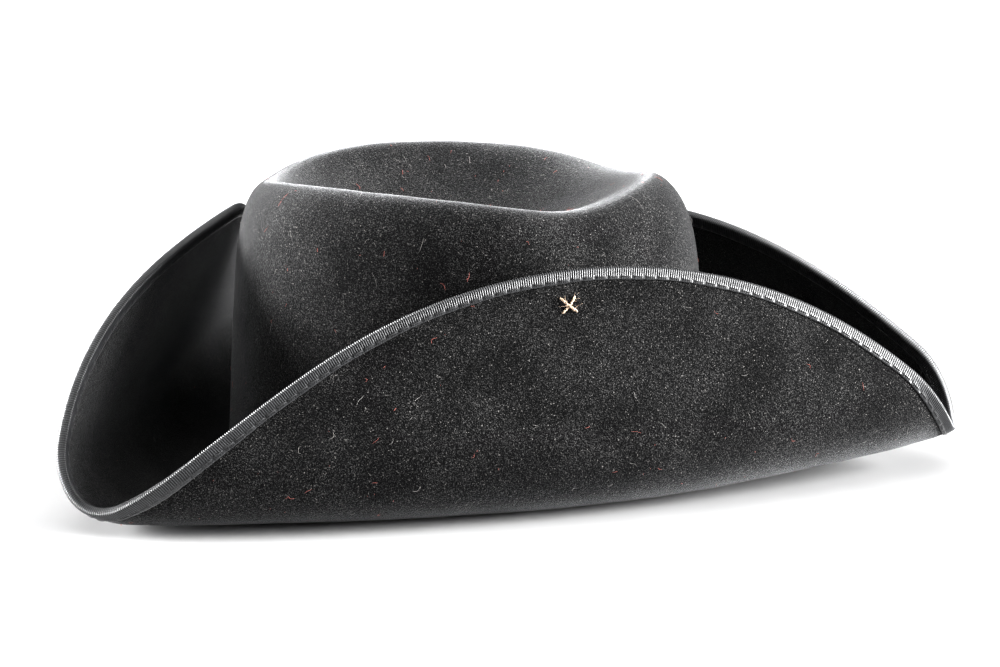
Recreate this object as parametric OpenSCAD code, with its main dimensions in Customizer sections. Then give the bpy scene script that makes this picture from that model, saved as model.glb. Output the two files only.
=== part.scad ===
// Black felt three-cornered hat: one creased felt hood with its brim turned up on
// three sides, a bound edge, two tacking stitches, and a sweatband and lining inside.
// +X is the front of the hat, +Y the wearer's left, +Z up; Z = 0 is the surface it
// stands on, and the origin is the middle of the head opening.

/* [Felt] */
// Thickness of the felt
felt_t = 3; // [2:0.25:3.5]

/* [Crown] */
// Length of the crown at its base, front to back, outside
crown_l = 210; // [206:1:216]
// Width of the crown at its base, outside
crown_w = 184; // [178:1:188]
// Height of the crown before the crease is pressed in
crown_h = 129; // [124:1:132]
// How far the wall draws in on each side from the base to the rim
crown_taper = 5; // [2:0.5:7]
// How far the rim stands forward of the base
crown_lean = 4; // [0:0.5:5]
// Squareness of the rim: higher gives a tighter shoulder
rim_power = 8; // [6:0.5:9]
// Squareness of the head oval: 2 is an ellipse
oval_power = 2.1; // [2:0.05:2.3]
// Depth of the long dent in the top
crease_d = 37; // [20:1:38]
// Length of the dent
crease_l = 172; // [150:2:174]
// Width of the dent
crease_w = 143; // [124:1:145]
// How far the dent's middle lies behind the middle of the crown
crease_back = 6.5; // [0:0.5:8]
// How much wider the dent is at its front end, as a share
crease_flare = 0.18; // [0:0.02:0.2]
// How far the two front pinches press into the wall at the rim
pinch_d = 9; // [0:1:10]
// Angle of each pinch from the front
pinch_at = 37; // [34:1:46]
// How far the rim drops at a pinch
pinch_drop = 6.5; // [0:0.5:8]
// Half-width of a pinch, as an angle
pinch_span = 31; // [20:1:32]
// How much lower the front of the rim is than the back
front_drop = 1.5; // [0:0.5:4]

/* [Brim] */
// Mean radius of the brim before it is folded
blank_r = 206; // [200:1:212]
// Extra radius of the brim at the front and back
blank_oval = 20; // [16:1:22]
// Extra radius of the brim in the middle of each side
blank_trim = 13.5; // [10:0.5:14]
// Height of the brim edge that the corners gain from being steamed upwards
corner_lift = 3.5; // [0:0.5:6]
// Further height of the front corner
front_lift = 8.5; // [0:0.5:12]
// Radius of the curve between crown and brim
break_r = 4; // [3:1:6]

/* [Folds] */
// Direction of the two side folds from the front
side_dir = 63.25; // [62:0.25:65]
// Distance of a side fold from the middle of the hat
side_at = 121; // [119:0.5:124]
// How far a side fold swings towards the back corner
side_skew = 7; // [2:0.5:8]
// How far the ends of a side fold turn inwards
side_bow = 7; // [4:0.5:8]
// Lean of the side panels from the flat brim
side_lean = 113.5; // [108:0.5:114.5]
// How much more a side panel leans at its ends
side_curl = 3.5; // [0:0.5:4]
// Distance of the rear fold from the middle of the hat
rear_at = 140; // [136:0.5:142]
// How far the ends of the rear fold turn inwards
rear_bow = 4.5; // [2:0.5:5]
// Lean of the rear panel from the flat brim
rear_lean = 114.5; // [108:0.5:115.5]
// How much less the rear panel leans at its ends
rear_relax = 14; // [8:1:16]
// Length of felt that each fold takes up in its bend
bend_l = 45.5; // [42:0.5:50]

/* [Trim] */
// How far the edge ribbon covers each face of the brim
binding_w = 4.5; // [3.5:0.5:6]
// Thickness of the edge ribbon
binding_t = 0.6; // [0.4:0.1:0.8]
// Diameter of the sewing thread
thread_d = 0.6; // [0.5:0.1:0.8]
// Size across one tacking cross
tack_size = 9; // [7:0.5:11]
// Distance of a tacking cross below the edge
tack_down = 13; // [12:1:20]
// Direction of the two side crosses from the front
tack_dir = 58; // [52:1:64]
// Diameter of the tacking thread
tack_d = 1.1; // [0.8:0.1:1.4]
// Length of tacking thread from the panel's face into the crown
tack_reach = 11; // [8:0.5:12]

/* [Inside] */
// Height of the leather sweatband
band_h = 36; // [30:1:42]
// Thickness of the sweatband leather
band_t = 1; // [0.8:0.1:1.4]
// Diameter of the reed in the sweatband's lower edge
reed_d = 1.6; // [1.2:0.1:2]
// Thickness of the tape folded round the reed
tape_t = 0.4; // [0.3:0.1:0.6]
// Thickness of the lining cloth
lining_t = 0.6; // [0.4:0.1:0.8]
// Length of one loop of the bow on the sweatband
bow_l = 11; // [8:1:14]

/* [Hidden] */

felt_black = [0.09, 0.09, 0.1];
ribbon_black = [0.2, 0.2, 0.22];
thread_black = [0.3, 0.3, 0.32];
cotton_cream = [0.86, 0.8, 0.7];
leather_brown = [0.35, 0.22, 0.14];
satin_black = [0.14, 0.13, 0.15];
gap = 0.15;
lining_gap = 0.5;
lip_round = 0.08;
bowl_power = 1.1;
band_foot = 3.5;
bow_stand = 1.8;

// Stations round the hat, closer together at the three corners
stations = 78;
crowding = 10;
angles = [for (i = [0 : stations - 1])
    let (even = i * 360 / stations) even - crowding * sin(3 * even)];

oval_angles = [for (i = [0 : 47]) i * 7.5];

// Places along the felt from the middle of the tip (0), over the rim, to the break
// where crown meets brim (1) and out to the brim's edge (2)
rim_at = 0.5;
rim_share = pow(2, -1 / rim_power);
tip_rings = [for (m = [0.14, 0.3, 0.45, 0.6, 0.72, 0.83, 0.93, 1]) m * rim_at];
wall_rings = [for (f = [0.06, 0.18, 0.36, 0.56, 0.76, 0.9, 0.965]) rim_at + f * (1 - rim_at)];
brim_rings = concat([for (i = [0 : 15]) 1 + i / 16], [1.96, 2]);
felt_rings = concat(tip_rings, wall_rings, brim_rings);

function unit(v) = v / norm(v);
function turn(a) = (a + 540) % 360 - 180;
function hill(a, width) = exp(-pow(turn(a) / width, 2));
function oval(a, length, width) =
    pow(pow(abs(cos(a)) * 2 / length, oval_power) + pow(abs(sin(a)) * 2 / width, oval_power),
        -1 / oval_power);

// ---- crown ----

function pinch(a) = hill(a - pinch_at, pinch_span) + hill(a + pinch_at, pinch_span);
// Depth of the dent: a steep-sided oval bowl whose lip is rounded over
function dent(x, y) = let (
    forward = 2 * (x + crease_back) / crease_l,
    half_w = crease_w / 2 * (1 + crease_flare * forward),
    inside = 1 - pow(forward, 2) - pow(y / half_w, 2)
) crease_d * pow((inside + norm([inside, lip_round])) / 2, bowl_power);
function flare(height) = break_r * pow(max(0, 1 - height / (2 * break_r)), 2);

// Point of the crown where the plan is reach (0 to 1) of full and the height is rise (0 to 1)
function crown_point(a, reach, rise) = let (
    draw = 2 * crown_taper * rise,
    full = oval(a, crown_l - felt_t - draw, crown_w - felt_t - draw),
    r = reach * (full - pinch_d * rise * rise * rise * pinch(a)) + flare(rise * crown_h),
    x = r * cos(a),
    y = r * sin(a),
    foot = brim_height(a, r) * (1 - rise),
    drop = front_drop * (0.5 + x / crown_l) + pinch_drop * pinch(a) * pow(reach, 3) * rise
) [x + crown_lean * rise, y, foot + (crown_h - drop) * rise - dent(x, y)];

// ---- brim ----

function edge_r(a) = blank_r + blank_oval * cos(2 * a) - blank_trim * cos(3 * a);
function brim_height(a, r) = pow(r / 200, 2)
    * (corner_lift * (1 + cos(3 * a)) / 2 + front_lift * pow((1 + cos(a)) / 2, 3));

// Each fold: direction, distance, skew, bow, lean and how much the lean relaxes at its ends
FOLDS = [[side_dir, side_at, -side_skew, side_bow, side_lean, -side_curl],
         [-side_dir, side_at, side_skew, side_bow, side_lean, -side_curl],
         [180, rear_at, 0, rear_bow, rear_lean, rear_relax]];

// Shift, outwards and upwards, of felt that lies u out from the middle, across one fold
function fold_shift(u, start, lean) = let (
    past = max(0, u - start),
    bent = min(past, bend_l),
    radius = bend_l / (lean * PI / 180),
    turned = bent / radius * 180 / PI
) [radius * sin(turned) - bent + (past - bent) * (cos(lean) - 1),
   radius * (1 - cos(turned)) + (past - bent) * sin(lean)];

function fold_push(x, y, fold) = let (
    c = cos(fold[0]),
    s = sin(fold[0]),
    along = (y * c - x * s) / 100,
    start = fold[1] + fold[2] * along - fold[3] * along * along - bend_l / 2,
    shift = fold_shift(x * c + y * s, start, fold[4] - fold[5] * along * along)
) [shift[0] * c, shift[0] * s, shift[1]];

function brim_point(a, r) = let (x = r * cos(a), y = r * sin(a))
    [x, y, brim_height(a, r)] + fold_push(x, y, FOLDS[0]) + fold_push(x, y, FOLDS[1])
    + fold_push(x, y, FOLDS[2]);

// ---- the felt as one sheet ----

function felt_mid(a, t) =
    t < rim_at ? let (m = rim_share * t / rim_at)
        crown_point(a, m, pow(1 - pow(m, rim_power), 1 / rim_power))
    : t < 1 ? let (f = rim_share * (1 - t) / (1 - rim_at))
        crown_point(a, pow(1 - pow(f, rim_power), 1 / rim_power), f)
    : let (inner = oval(a, crown_l - felt_t, crown_w - felt_t) + break_r)
        brim_point(a, inner + (t - 1) * (edge_r(a) - inner));

function felt_normal(a, t) = unit(cross(
    felt_mid(a, t + 0.01) - felt_mid(a, max(0.001, t - 0.01)),
    felt_mid(a + 0.5, t) - felt_mid(a - 0.5, t)));

// Point at a distance off the felt's middle layer, positive on the outside and upper side
function felt_point(a, t, off) = felt_mid(a, t) + off * felt_normal(a, t) + [0, 0, felt_t / 2];

// Place along the felt that lies a distance in from the brim's edge
function edge_in(a, distance) = 2 - distance / (edge_r(a) - oval(a, crown_l, crown_w) - break_r);

// ---- solids from rings of points ----

function flat_list(rows) = [for (row = rows) each row];

// Solid whose cross-section runs round in a closed loop; loops[i] is the section at station i
module loop_solid(loops) {
    n = len(loops);
    k = len(loops[0]);
    faces = [for (i = [0 : n - 1], j = [0 : k - 1])
        let (a = i * k + j, b = i * k + (j + 1) % k,
             c = (i + 1) % n * k + (j + 1) % k, d = (i + 1) % n * k + j)
        each [[a, b, c], [a, c, d]]];
    polyhedron(points = flat_list(loops), faces = faces);
}

// Solid whose cross-section runs from the point first, out and back, to the point last
module capped_solid(lines, first, last) {
    n = len(lines);
    k = len(lines[0]);
    apex = n * k;
    faces = [for (i = [0 : n - 1]) let (next = (i + 1) % n)
        each concat(
            [[apex, i * k, next * k], [apex + 1, next * k + k - 1, i * k + k - 1]],
            [for (j = [0 : k - 2]) each [
                [i * k + j, i * k + j + 1, next * k + j + 1],
                [i * k + j, next * k + j + 1, next * k + j]]])];
    polyhedron(points = concat(flat_list(lines), [first, last]), faces = faces);
}

function reversed(list) = [for (i = [len(list) - 1 : -1 : 0]) list[i]];

// Section of a layer of cloth or felt: out along its lower face and back along its upper one
function layer(a, rings, lower, upper) = concat(
    [for (t = rings) felt_point(a, t, lower)],
    [for (t = reversed(rings)) felt_point(a, t, upper)]);

// Round section of a thread, radius r, lying along the brim's edge at place t
function thread_section(a, t, off, r) = let (
    across = unit(felt_point(a, t, off) - felt_point(a, t - 0.02, off)),
    up = felt_normal(a, t)
) [for (k = [0 : 4]) felt_point(a, t, off) + r * (cos(72 * k) * across + sin(72 * k) * up)];

// Ring that follows the head oval; section holds [outward, up] pairs
module head_ring(section, inset, z) {
    loop_solid([for (a = oval_angles) [for (p = section)
        let (r = oval(a, crown_l, crown_w) - felt_t - inset + p[0])
        [r * cos(a), r * sin(a), z + p[1]]]]);
}

function arc(r, from, to, steps) =
    [for (i = [0 : steps]) let (q = from + (to - from) * i / steps) [r * cos(q), r * sin(q)]];

// ---- sub-parts ----

// Crown and brim, blocked from one cone of felt
module felt_hood() {
    color(felt_black)
        capped_solid([for (a = angles) layer(a, felt_rings, -felt_t / 2, felt_t / 2)],
            felt_point(0, 0.001, -felt_t / 2), felt_point(0, 0.001, felt_t / 2));
}

// Ribbon wrapped over the raw edge of the brim
module edge_binding() {
    inside = felt_t / 2 + gap / 3;
    outside = inside + binding_t;
    function wrap(a) = let (
        out = unit(felt_point(a, 2, 0) - felt_point(a, 1.97, 0)),
        up = felt_normal(a, 2),
        lip = felt_point(a, 2, 0),
        lap = edge_in(a, binding_w)
    ) concat(
        [felt_point(a, lap, -outside), lip - outside * up],
        [for (q = [-60, -20, 20, 60]) lip + (gap / 3 + binding_t) * cos(q) * out + outside * sin(q) * up],
        [lip + outside * up, felt_point(a, lap, outside)],
        [felt_point(a, lap, inside), lip + inside * up + gap / 3 * out],
        [lip - inside * up + gap / 3 * out, felt_point(a, lap, -inside)]);
    color(ribbon_black) loop_solid([for (a = angles) wrap(a)]);
}

// Upper and lower thread of the lockstitch that holds the ribbon
module binding_thread() {
    off = felt_t / 2 + gap / 3 + binding_t + thread_d / 2 + gap / 3;
    color(thread_black)
        for (side = [1, -1])
            loop_solid([for (a = angles)
                thread_section(a, edge_in(a, binding_w - 1), side * off, thread_d / 2)]);
}

// Cross of thick thread that ties one brim panel to the crown, sewn from the panel's outside
module tack_stitch(a) {
    t = edge_in(a, tack_down);
    out = -felt_normal(a, t);
    level = unit(felt_point(a + 1, t, 0) - felt_point(a - 1, t, 0));
    down = cross(out, level);
    color(cotton_cream)
        for (slant = [1, -1])
            let (arm = tack_size / 2 * unit(level + slant * down), height = (1.6 - slant) * tack_d / 2)
                thread_arm(felt_point(a, t, -felt_t / 2), arm, out, height);
}

// One arm of a cross: up through the felt, over the face and down again
module thread_arm(middle, arm, out, height) {
    across = unit(cross(out, arm));
    deep = -tack_reach * out;
    low = tack_d / 2 * out;
    path = [middle - 0.9 * arm + deep, middle - arm - low, middle - 0.85 * arm + 1.2 * low,
            middle + height * out,
            middle + 0.85 * arm + 1.2 * low, middle + arm - low, middle + 0.9 * arm + deep];
    last = len(path) - 1;
    rings = [for (i = [0 : last])
        let (along = unit(path[min(last, i + 1)] - path[max(0, i - 1)]), up = cross(across, along))
        [for (k = [0 : 7]) path[i] + tack_d / 2 * (cos(45 * k) * across + sin(45 * k) * up)]];
    sides = [for (i = [0 : last - 1], k = [0 : 7])
        let (a = i * 8 + k, b = i * 8 + (k + 1) % 8)
        each [[a, b, b + 8], [a, b + 8, a + 8]]];
    ends = [[for (k = [7 : -1 : 0]) k], [for (k = [0 : 7]) last * 8 + k]];
    polyhedron(points = flat_list(rings), faces = concat(sides, ends));
}

// Leather band that lies against the head
module sweatband() {
    section = [[0, 0], [0, band_h], [-0.3, band_h + 0.5], [-band_t, band_h], [-band_t, 0]];
    color(leather_brown) head_ring(section, band_inset(), band_foot + felt_t / 2);
}

// Distance of the sweatband inside the felt at the head opening, which clears the leaning wall
function band_inset() = (crown_taper + crown_lean) * (band_foot + band_h + 2.5) / crown_h
    + lining_gap + lining_t + 2 * gap;

// Upright seam that joins the ends of the sweatband at the back
module sweatband_seam() {
    r = (crown_l / 2 - felt_t - band_inset()) - band_t;
    color(thread_black)
        for (k = [0 : 8])
            translate([-r + gap + thread_d / 2, 0, felt_t / 2 + 6 + k * 3.6])
                rotate([90, 0, 0])
                    cylinder(h = 4, d = thread_d, center = true, $fn = 16);
}

// Springy reed that keeps the sweatband's lower edge open
module sweatband_reed() {
    section = [for (k = [0 : 5]) reed_d / 2 * [cos(60 * k), sin(60 * k)]];
    color(satin_black) head_ring(section, reed_inset(), reed_z());
}

function reed_inset() = band_inset() + band_t / 2;
function reed_z() = felt_t / 2 + band_foot - 0.2 - tape_t - reed_d / 2 - gap;

// Tape folded round the reed and sewn to the leather
module reed_tape() {
    inner = reed_d / 2 + gap;
    section = concat(arc(inner, 70, -250, 5), arc(inner + tape_t, -250, 70, 5));
    color(ribbon_black) head_ring(section, reed_inset(), reed_z());
}

// Row of stitches that holds the sweatband's tape into the hat
module sweatband_thread() {
    r_off = reed_d / 2 + tape_t + 2 * gap + thread_d / 2;
    section = [for (k = [0 : 5]) [-r_off, 0] + thread_d / 2 * [cos(60 * k), sin(60 * k)]];
    color(thread_black) head_ring(section, reed_inset(), reed_z());
}

// Small ribbon bow on the sweatband at the wearer's left, towards the back
module sweatband_bow() {
    a = 180 - 14;
    r = oval(a, crown_l, crown_w) - felt_t - band_inset() - band_t - gap;
    color(ribbon_black)
        translate([r * cos(a), r * sin(a), felt_t / 2 + 12])
            rotate([90, 0, a - 90])
                translate([0, 0, bow_stand]) {
                    for (side = [-1, 1]) {
                        bow_loop(side);
                        bow_tail(side);
                    }
                    cylinder(h = 2.6, d = 4, $fn = 32);
                }
}

module bow_loop(side) {
    translate([side * 1.5, 0, 0])
        linear_extrude(height = 2)
            polygon([[0, 0.8], [side * bow_l * 0.5, 2.8], [side * bow_l * 0.9, 2.4],
                     [side * bow_l, 0], [side * bow_l * 0.9, -2.4], [side * bow_l * 0.5, -2.8],
                     [0, -0.8]]);
}

module bow_tail(side) {
    linear_extrude(height = 0.8)
        polygon([[0, 0], [side * 9, -7.5], [side * 6.8, -8], [side * 5.4, -10]]);
}

// Cloth that lines the crown's wall
module lining_side() {
    off = -felt_t / 2 - lining_gap;
    rings = [for (i = [1 : 5]) wall_rings[i]];
    color(satin_black)
        loop_solid([for (a = angles) layer(a, rings, off - lining_t, off)]);
}

// Cloth that lines the crown's tip
module lining_tip() {
    off = -felt_t / 2 - lining_gap;
    rings = [for (i = [0 : 6]) tip_rings[i]];
    color(satin_black)
        capped_solid([for (a = angles) layer(a, rings, off - lining_t, off)],
            felt_point(0, 0.001, off - lining_t), felt_point(0, 0.001, off));
}

// Piping in the seam between the two linings
module lining_cord() {
    r = 0.7;
    off = -felt_t / 2 - lining_gap - r;
    color(ribbon_black)
        loop_solid([for (a = angles) thread_section(a, rim_at, off, r)]);
}

felt_hood();
edge_binding();
binding_thread();
tack_stitch(-tack_dir);  // tack_stitch_right
tack_stitch(tack_dir);  // tack_stitch_left
sweatband();
sweatband_seam();
sweatband_reed();
reed_tape();
sweatband_thread();
sweatband_bow();
lining_side();
lining_tip();
lining_cord();
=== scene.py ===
import math

import bpy
import numpy as np
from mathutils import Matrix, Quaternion, Vector


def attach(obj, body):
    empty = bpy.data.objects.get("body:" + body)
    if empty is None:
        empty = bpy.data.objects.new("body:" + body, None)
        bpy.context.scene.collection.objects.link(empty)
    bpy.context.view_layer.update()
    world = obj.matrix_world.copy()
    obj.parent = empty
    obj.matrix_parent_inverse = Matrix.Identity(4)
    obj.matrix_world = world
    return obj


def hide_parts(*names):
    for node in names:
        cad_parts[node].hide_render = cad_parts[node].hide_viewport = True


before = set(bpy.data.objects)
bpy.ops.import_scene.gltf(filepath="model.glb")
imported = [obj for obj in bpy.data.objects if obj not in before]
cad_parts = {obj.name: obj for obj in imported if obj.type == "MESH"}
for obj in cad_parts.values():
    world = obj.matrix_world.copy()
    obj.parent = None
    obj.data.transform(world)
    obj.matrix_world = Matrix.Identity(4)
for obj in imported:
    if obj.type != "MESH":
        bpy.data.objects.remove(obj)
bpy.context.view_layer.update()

MM = 0.001

# ---------------------------------------------------------------------------
# The hat's shape, in millimetres: the same driving dimensions as the CAD model
# ---------------------------------------------------------------------------

FELT_T = 3.0
CROWN_L, CROWN_W, CROWN_H = 210.0, 184.0, 129.0
CROWN_TAPER, CROWN_LEAN = 5.0, 4.0
RIM_POWER = 8.0
OVAL_POWER = 2.1
CREASE_D, CREASE_L, CREASE_W = 37.0, 172.0, 143.0
CREASE_BACK, CREASE_FLARE = 6.5, 0.18
LIP_ROUND, BOWL_POWER = 0.08, 1.1
PINCH_D, PINCH_AT, PINCH_DROP, PINCH_SPAN = 9.0, 37.0, 6.5, 31.0
FRONT_DROP = 1.5

BLANK_R, BLANK_OVAL, BLANK_TRIM = 206.0, 20.0, 13.5
CORNER_LIFT, FRONT_LIFT = 3.5, 8.5
BREAK_R = 4.0
BEND_L = 45.5
# Each fold: direction, distance, skew, bow, lean, and how much the lean relaxes at its ends
FOLDS = [(63.25, 121.0, -7.0, 7.0, 113.5, -3.5),
         (-63.25, 121.0, 7.0, 7.0, 113.5, -3.5),
         (180.0, 140.0, 0.0, 4.5, 114.5, 14.0)]

BINDING_W, BINDING_T = 4.5, 0.6
RIB_PITCH = 0.95
RIB_DEPTH = 0.17
STITCH_PITCH = 5.3
TACK_SIZE, TACK_DOWN, TACK_D, TACK_REACH = 9.0, 13.0, 1.1, 11.0
TACK_DIRECTIONS = {"right": -58.0, "left": 58.0}

BAND_H, BAND_T = 36.0, 1.0
SEAM_STITCHES, SEAM_FOOT, SEAM_PITCH = 9, 6.0, 3.6
LINING_T, LINING_GAP, GAP = 0.6, 0.5, 0.15
CLOTH_T = 0.35
LINING_FOOT = 0.94
REED_D, TAPE_T = 1.6, 0.4
TAPE_RIBS, BAND_STITCHES = 720, 150
BOW_L, BOW_TAIL, BOW_STAND = 11.0, 11.0, 1.8
BOW_DIRECTION, BOW_UP = 166.0, 12.0
KNOT_HIGH, KNOT_DEEP = 2.1, 1.5

# Places along the felt: t is 0 in the middle of the tip, 1 at the break and 2 at the edge
RIM_AT, BREAK_AT, EDGE_AT = 0.5, 1.0, 2.0
RIM_SHARE = 2 ** (-1 / RIM_POWER)
# Step over which the felt's directions are measured, and the nearest t to the tip's middle
FRAME_STEP, FRAME_LEAST = 0.004, 0.0005
# How far, in degrees, the mesh's columns are drawn toward the three corners
CORNER_CROWDING = 10.0


def hill(a, width):
    """Smooth bump of height 1 at angle 0, a in radians and width in degrees."""
    turned = (np.degrees(a) + 540) % 360 - 180
    return np.exp(-((turned / width) ** 2))


def oval(a, length, width):
    """Radius of the head's oval in the direction a."""
    power = (np.abs(np.cos(a)) * 2 / length) ** OVAL_POWER
    power = power + (np.abs(np.sin(a)) * 2 / width) ** OVAL_POWER
    return power ** (-1 / OVAL_POWER)


def pinch(a):
    """How strongly the crown is pinched in there: the two front dents."""
    at = math.radians(PINCH_AT)
    return hill(a - at, PINCH_SPAN) + hill(a + at, PINCH_SPAN)


def dent(x, y):
    """Depth of the dent: a steep-sided oval bowl whose lip is rounded over."""
    forward = 2 * (x + CREASE_BACK) / CREASE_L
    half_w = CREASE_W / 2 * (1 + CREASE_FLARE * forward)
    inside = 1 - forward**2 - (y / half_w) ** 2
    return CREASE_D * ((inside + np.hypot(inside, LIP_ROUND)) / 2) ** BOWL_POWER


def brim_height(a, r):
    """Rise of the flat brim toward the three corners, most at the front one."""
    lift = CORNER_LIFT * (1 + np.cos(3 * a)) / 2 + FRONT_LIFT * ((1 + np.cos(a)) / 2) ** 3
    return (r / 200) ** 2 * lift


def crown_point(a, reach, rise):
    """Point where the plan is reach of full and the height is rise, both from 0 to 1."""
    draw = 2 * CROWN_TAPER * rise
    full = oval(a, CROWN_L - FELT_T - draw, CROWN_W - FELT_T - draw)
    flare = BREAK_R * np.maximum(0, 1 - rise * CROWN_H / (2 * BREAK_R)) ** 2
    r = reach * (full - PINCH_D * rise**3 * pinch(a)) + flare
    x, y = r * np.cos(a), r * np.sin(a)
    drop = FRONT_DROP * (0.5 + x / CROWN_L) + PINCH_DROP * pinch(a) * reach**3 * rise
    z = brim_height(a, r) * (1 - rise) + (CROWN_H - drop) * rise - dent(x, y)
    return np.stack([x + CROWN_LEAN * rise, y, z], -1)


def fold_push(x, y, fold):
    """How far one fold of the brim moves the felt that lay flat at x, y."""
    direction, distance, skew, bow, lean, relax = fold
    c, s = math.cos(math.radians(direction)), math.sin(math.radians(direction))
    along = (y * c - x * s) / 100
    lean = np.radians(lean - relax * along**2)
    past = np.maximum(0, x * c + y * s - (distance + skew * along - bow * along**2 - BEND_L / 2))
    bent = np.minimum(past, BEND_L)
    radius = BEND_L / lean
    out = radius * np.sin(bent / radius) - bent + (past - bent) * (np.cos(lean) - 1)
    up = radius * (1 - np.cos(bent / radius)) + (past - bent) * np.sin(lean)
    return np.stack([out * c, out * s, up], -1)


def brim_point(a, r):
    """Point of the folded brim that lay at the radius r before folding."""
    x, y = r * np.cos(a), r * np.sin(a)
    return np.stack([x, y, brim_height(a, r)], -1) + sum(fold_push(x, y, f) for f in FOLDS)


def edge_r(a):
    """Radius at which the brim is cut before it is folded."""
    return BLANK_R + BLANK_OVAL * np.cos(2 * a) - BLANK_TRIM * np.cos(3 * a)


def felt_mid(a, t):
    """The felt's middle layer, at an angle a and a place t along the felt."""
    m = RIM_SHARE * np.clip(t / RIM_AT, 0, 1)
    f = RIM_SHARE * np.clip((BREAK_AT - t) / (BREAK_AT - RIM_AT), 0, 1)
    reach = np.where(t < RIM_AT, m, (1 - f**RIM_POWER) ** (1 / RIM_POWER))
    rise = np.where(t < RIM_AT, (1 - m**RIM_POWER) ** (1 / RIM_POWER), f)
    inner = oval(a, CROWN_L - FELT_T, CROWN_W - FELT_T) + BREAK_R
    brim = brim_point(a, inner + np.maximum(0, t - BREAK_AT) * (edge_r(a) - inner))
    return np.where((t < BREAK_AT)[..., None], crown_point(a, reach, rise), brim)


def unit(v):
    """The vectors scaled to length 1."""
    return v / np.linalg.norm(v, axis=-1, keepdims=True)


def felt_frame(a, t):
    """Unit vectors along the felt away from the crown, round the hat, and off its upper side."""
    along = felt_mid(a, t + FRAME_STEP) - felt_mid(a, np.maximum(FRAME_LEAST, t - FRAME_STEP))
    round_ = felt_mid(a + FRAME_STEP, t) - felt_mid(a - FRAME_STEP, t)
    up = unit(np.cross(along, round_))
    return unit(along), unit(round_), up


def waviness(a, t):
    """Slight unevenness left by shaping the felt by hand, in millimetres."""
    soft = np.sin(3.1 * a + 4.0 * t + 0.7) * np.sin(5.3 * t + 1.9)
    fine = np.sin(11.0 * a + 9.0 * t) * np.sin(17.0 * t + 5.0 * np.cos(a))
    return (0.35 * soft + 0.12 * fine) * np.clip(t / 0.3, 0, 1)


def felt_point(a, t, off):
    """Point at a distance off the felt's middle layer, positive on its outside or upper side."""
    a, t, off = np.broadcast_arrays(*(np.asarray(v, float) for v in (a, t, off)))
    up = felt_frame(a, t)[2]
    return felt_mid(a, t) + (off + waviness(a, t))[..., None] * up + np.array([0, 0, FELT_T / 2])


def edge_in(a, distance):
    """Place along the felt that lies a distance in from the brim's edge."""
    return EDGE_AT - distance / (edge_r(a) - oval(a, CROWN_L, CROWN_W) - BREAK_R)


def stations(count):
    """Angles round the hat, closer together at the corners."""
    even = np.linspace(0, 2 * np.pi, count, endpoint=False)
    return even - math.radians(CORNER_CROWDING) * np.sin(3 * even)


def edge_stations(pitch):
    """Angles that lie a fixed distance apart along the brim's edge, and those distances."""
    a = np.linspace(0, 2 * np.pi, 4001)
    steps = np.linalg.norm(np.diff(felt_point(a, EDGE_AT, 0.0), axis=0), axis=1)
    length = np.concatenate([[0], np.cumsum(steps)])
    count = int(round(length[-1] / pitch))
    at = np.arange(count) * length[-1] / count
    return np.interp(at, length, a), at, length[-1]


# ---------------------------------------------------------------------------
# Mesh building
# ---------------------------------------------------------------------------

def grid_faces(rows, cols, wrap_rows, wrap_cols):
    """Quads of a grid of points; a wrapped direction joins its last line to its first."""
    i = np.arange(rows if wrap_rows else rows - 1)[:, None]
    j = np.arange(cols if wrap_cols else cols - 1)[None, :]
    ni, nj = (i + 1) % rows, (j + 1) % cols
    quads = np.stack([i * cols + j, i * cols + nj, ni * cols + nj, ni * cols + j], -1)
    return quads.reshape(-1, 4)


def add_piece(name, points, faces, material, hides=(), marks=None):
    """A smooth mesh object in metres from points in millimetres, riding on the hat's one body."""
    mesh = bpy.data.meshes.new(name)
    mesh.from_pydata((np.asarray(points).reshape(-1, 3) * MM).tolist(), [], [list(f) for f in faces])
    mesh.validate()
    mesh.shade_smooth()
    for mark, values in (marks or {}).items():
        mesh.attributes.new(mark, "FLOAT", "POINT").data.foreach_set("value", np.ravel(values))
    mesh.materials.append(material)
    piece = bpy.data.objects.new(name, mesh)
    bpy.context.scene.collection.objects.link(piece)
    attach(piece, "root")
    if hides:
        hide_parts(*hides)
    return piece


def loop_piece(name, loops, material, hides=(), marks=None):
    """A closed ring: loops[i] is the closed cross-section at station i."""
    rows, cols = loops.shape[:2]
    faces = grid_faces(rows, cols, True, True).tolist()
    return add_piece(name, loops, faces, material, hides, marks)


def tubes(paths, radii, sides=5):
    """Points and faces of many tapered tubes; paths is (tubes, points, 3) and radii (tubes, points)."""
    count, length = paths.shape[:2]
    along = unit(np.gradient(paths, axis=1))
    helper = np.where(np.abs(along[..., 2:]) < 0.8, [[[0.0, 0.0, 1.0]]], [[[1.0, 0.0, 0.0]]])
    across = unit(np.cross(along, helper))
    up = np.cross(along, across)
    q = np.arange(sides) * 2 * np.pi / sides
    ring = np.cos(q)[:, None] * across[:, :, None] + np.sin(q)[:, None] * up[:, :, None]
    points = paths[:, :, None] + radii[:, :, None, None] * ring
    one = grid_faces(length, sides, False, True)
    faces = (one[None] + (np.arange(count) * length * sides)[:, None, None]).reshape(-1, 4).tolist()
    for k in range(count):
        first = k * length * sides
        faces.append(list(range(first + sides - 1, first - 1, -1)))
        last = first + (length - 1) * sides
        faces.append(list(range(last, last + sides)))
    return points.reshape(-1, 3), faces


# ---------------------------------------------------------------------------
# Materials
# ---------------------------------------------------------------------------

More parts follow.
